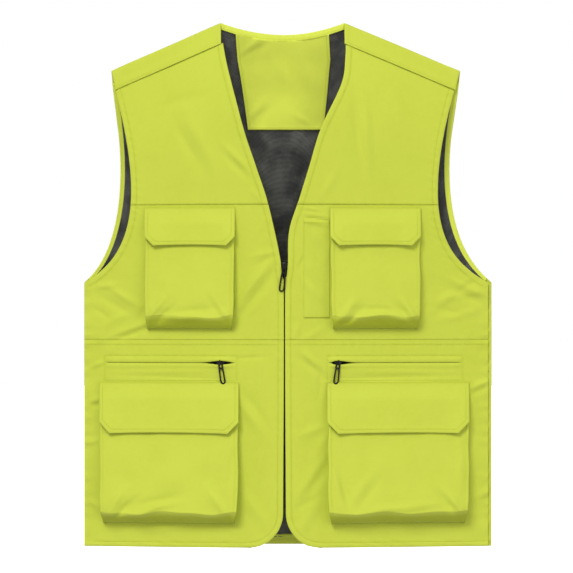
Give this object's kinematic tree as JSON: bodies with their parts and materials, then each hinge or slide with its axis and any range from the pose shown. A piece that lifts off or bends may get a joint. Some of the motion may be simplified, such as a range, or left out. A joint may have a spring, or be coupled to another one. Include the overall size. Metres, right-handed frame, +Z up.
{
  "type": "high visibility vest",
  "caption": "Sleeveless fluorescent yellow-green work vest with a V neck, an opening front zip, flapped bellows pockets and zipped pockets, lined with black mesh.",
  "frame": {"origin": "midway between the two neck points, on the shoulder ridge line, where a hanger or the wearer's shoulders carry the vest", "axes": "+Z up towards the collar, the front of the vest faces -Y, +X is the wearer's left"},
  "size_m": [0.5454, 0.1164, 0.7004],
  "materials": {
    "shell_cloth": "matt plain-woven polyester shell in fluorescent yellow-green",
    "pocket_cloth": "matt plain-woven polyester in fluorescent yellow-green",
    "facing_cloth": "matt plain-woven polyester in fluorescent yellow-green, folded and topstitched",
    "mesh_lining": "black knitted mesh lining",
    "zip_tape": "black woven zip tape with a moulded coil",
    "hook_and_loop": "hook and loop tape dyed to match the shell",
    "slider_metal": "black enamelled zinc",
    "pull_plastic": "black moulded plastic, satin"
  },
  "bodies": {
    "root": {"back_panel": "shell_cloth", "back_yoke": "shell_cloth", "back_lining": "mesh_lining", "back_neck_band": "facing_cloth", "back_neck_facing": "facing_cloth", "back_hem_facing": "facing_cloth", "right_shoulder_yoke": "shell_cloth", "right_back_armhole_facing": "facing_cloth", "right_chest_panel": "shell_cloth", "right_chest_lining": "mesh_lining", "right_chest_armhole_facing": "facing_cloth", "left_shoulder_yoke": "shell_cloth", "left_back_armhole_facing": "facing_cloth", "left_chest_panel": "shell_cloth", "left_chest_lining": "mesh_lining", "left_chest_armhole_facing": "facing_cloth"},
    "right_front": {"right_middle_panel": "shell_cloth", "right_lower_panel": "shell_cloth", "right_front_facing": "facing_cloth", "right_front_lining": "mesh_lining", "right_front_armhole_facing": "facing_cloth", "right_front_zip_tape": "zip_tape", "right_front_zip_top_stop": "pull_plastic", "right_pocket_zip_tape": "zip_tape", "right_zip_pocket_bag": "pocket_cloth", "right_chest_pocket": "pocket_cloth", "right_chest_hook_strip": "hook_and_loop", "right_lower_pocket": "pocket_cloth", "right_lower_hook_strip": "hook_and_loop", "front_zip_retainer_box": "pull_plastic"},
    "left_front": {"left_middle_panel": "shell_cloth", "left_lower_panel": "shell_cloth", "left_front_facing": "facing_cloth", "left_front_lining": "mesh_lining", "left_front_armhole_facing": "facing_cloth", "left_front_zip_tape": "zip_tape", "left_front_zip_top_stop": "pull_plastic", "left_pocket_zip_tape": "zip_tape", "left_zip_pocket_bag": "pocket_cloth", "left_chest_pocket": "pocket_cloth", "left_chest_hook_strip": "hook_and_loop", "left_lower_pocket": "pocket_cloth", "left_lower_hook_strip": "hook_and_loop", "front_zip_insertion_pin": "pull_plastic", "left_pen_pocket": "pocket_cloth"},
    "right_chest_flap": {"right_chest_flap": "pocket_cloth", "right_chest_loop_strip": "hook_and_loop"},
    "left_chest_flap": {"left_chest_flap": "pocket_cloth", "left_chest_loop_strip": "hook_and_loop"},
    "right_lower_flap": {"right_lower_flap": "pocket_cloth", "right_lower_loop_strip": "hook_and_loop"},
    "left_lower_flap": {"left_lower_flap": "pocket_cloth", "left_lower_loop_strip": "hook_and_loop"},
    "front_zip_slider": {"front_zip_slider": "slider_metal"},
    "front_zip_pull": {"front_zip_pull": "pull_plastic"},
    "right_pocket_zip_slider": {"right_pocket_zip_slider": "slider_metal"},
    "right_pocket_zip_pull": {"right_pocket_zip_pull": "pull_plastic"},
    "left_pocket_zip_slider": {"left_pocket_zip_slider": "slider_metal"},
    "left_pocket_zip_pull": {"left_pocket_zip_pull": "pull_plastic"}
  },
  "joints": [
    {"name": "right_front_swing", "type": "hinge", "parent": "root", "child": "right_front", "pos_m": [-0.273, 0, -0.52], "axis": [0, 0, -1], "range_deg": [0, 45]},
    {"name": "left_front_swing", "type": "hinge", "parent": "root", "child": "left_front", "pos_m": [0.273, 0, -0.52], "axis": [0, 0, 1], "range_deg": [0, 45]},
    {"name": "right_chest_flap_lift", "type": "hinge", "parent": "right_front", "child": "right_chest_flap", "pos_m": [-0.1265, -0.03298, -0.247], "axis": [-0.9839, 0.1785, 0], "range_deg": [0, 110]},
    {"name": "left_chest_flap_lift", "type": "hinge", "parent": "left_front", "child": "left_chest_flap", "pos_m": [0.1215, -0.03391, -0.247], "axis": [-0.9844, -0.1758, 0], "range_deg": [0, 110]},
    {"name": "right_lower_flap_lift", "type": "hinge", "parent": "right_front", "child": "right_lower_flap", "pos_m": [-0.156, -0.02739, -0.48], "axis": [-0.9826, 0.1857, 0], "range_deg": [0, 70]},
    {"name": "left_lower_flap_lift", "type": "hinge", "parent": "left_front", "child": "left_lower_flap", "pos_m": [0.152, -0.02819, -0.48], "axis": [-0.9829, -0.1841, 0], "range_deg": [0, 70]},
    {"name": "front_zip_slide", "type": "slide", "parent": "right_front", "child": "front_zip_slider", "axis": [0, 0, -1], "range_m": [0, 0.296]},
    {"name": "front_zip_pull_swing", "type": "hinge", "parent": "front_zip_slider", "child": "front_zip_pull", "pos_m": [0, -0.0494, -0.3255], "axis": [-1, 0, 0], "range_deg": [0, 150]},
    {"name": "right_pocket_zip_slide", "type": "slide", "parent": "right_front", "child": "right_pocket_zip_slider", "axis": [-0.9826, 0.1859, 0], "range_m": [0, 0.144]},
    {"name": "right_pocket_zip_pull_swing", "type": "hinge", "parent": "right_pocket_zip_slider", "child": "right_pocket_zip_pull", "pos_m": [-0.08681, -0.04176, -0.454], "axis": [-0.9826, 0.1859, 0], "range_deg": [0, 120]},
    {"name": "left_pocket_zip_slide", "type": "slide", "parent": "left_front", "child": "left_pocket_zip_slider", "axis": [0.983, 0.1835, 0], "range_m": [0, 0.152]},
    {"name": "left_pocket_zip_pull_swing", "type": "hinge", "parent": "left_pocket_zip_slider", "child": "left_pocket_zip_pull", "pos_m": [0.07283, -0.04425, -0.454], "axis": [-0.983, -0.1835, 0], "range_deg": [0, 120]}
  ],
  "couplings": [
    {"joint": "left_front_swing", "follows": "right_front_swing", "ratio": 1}
  ]
}
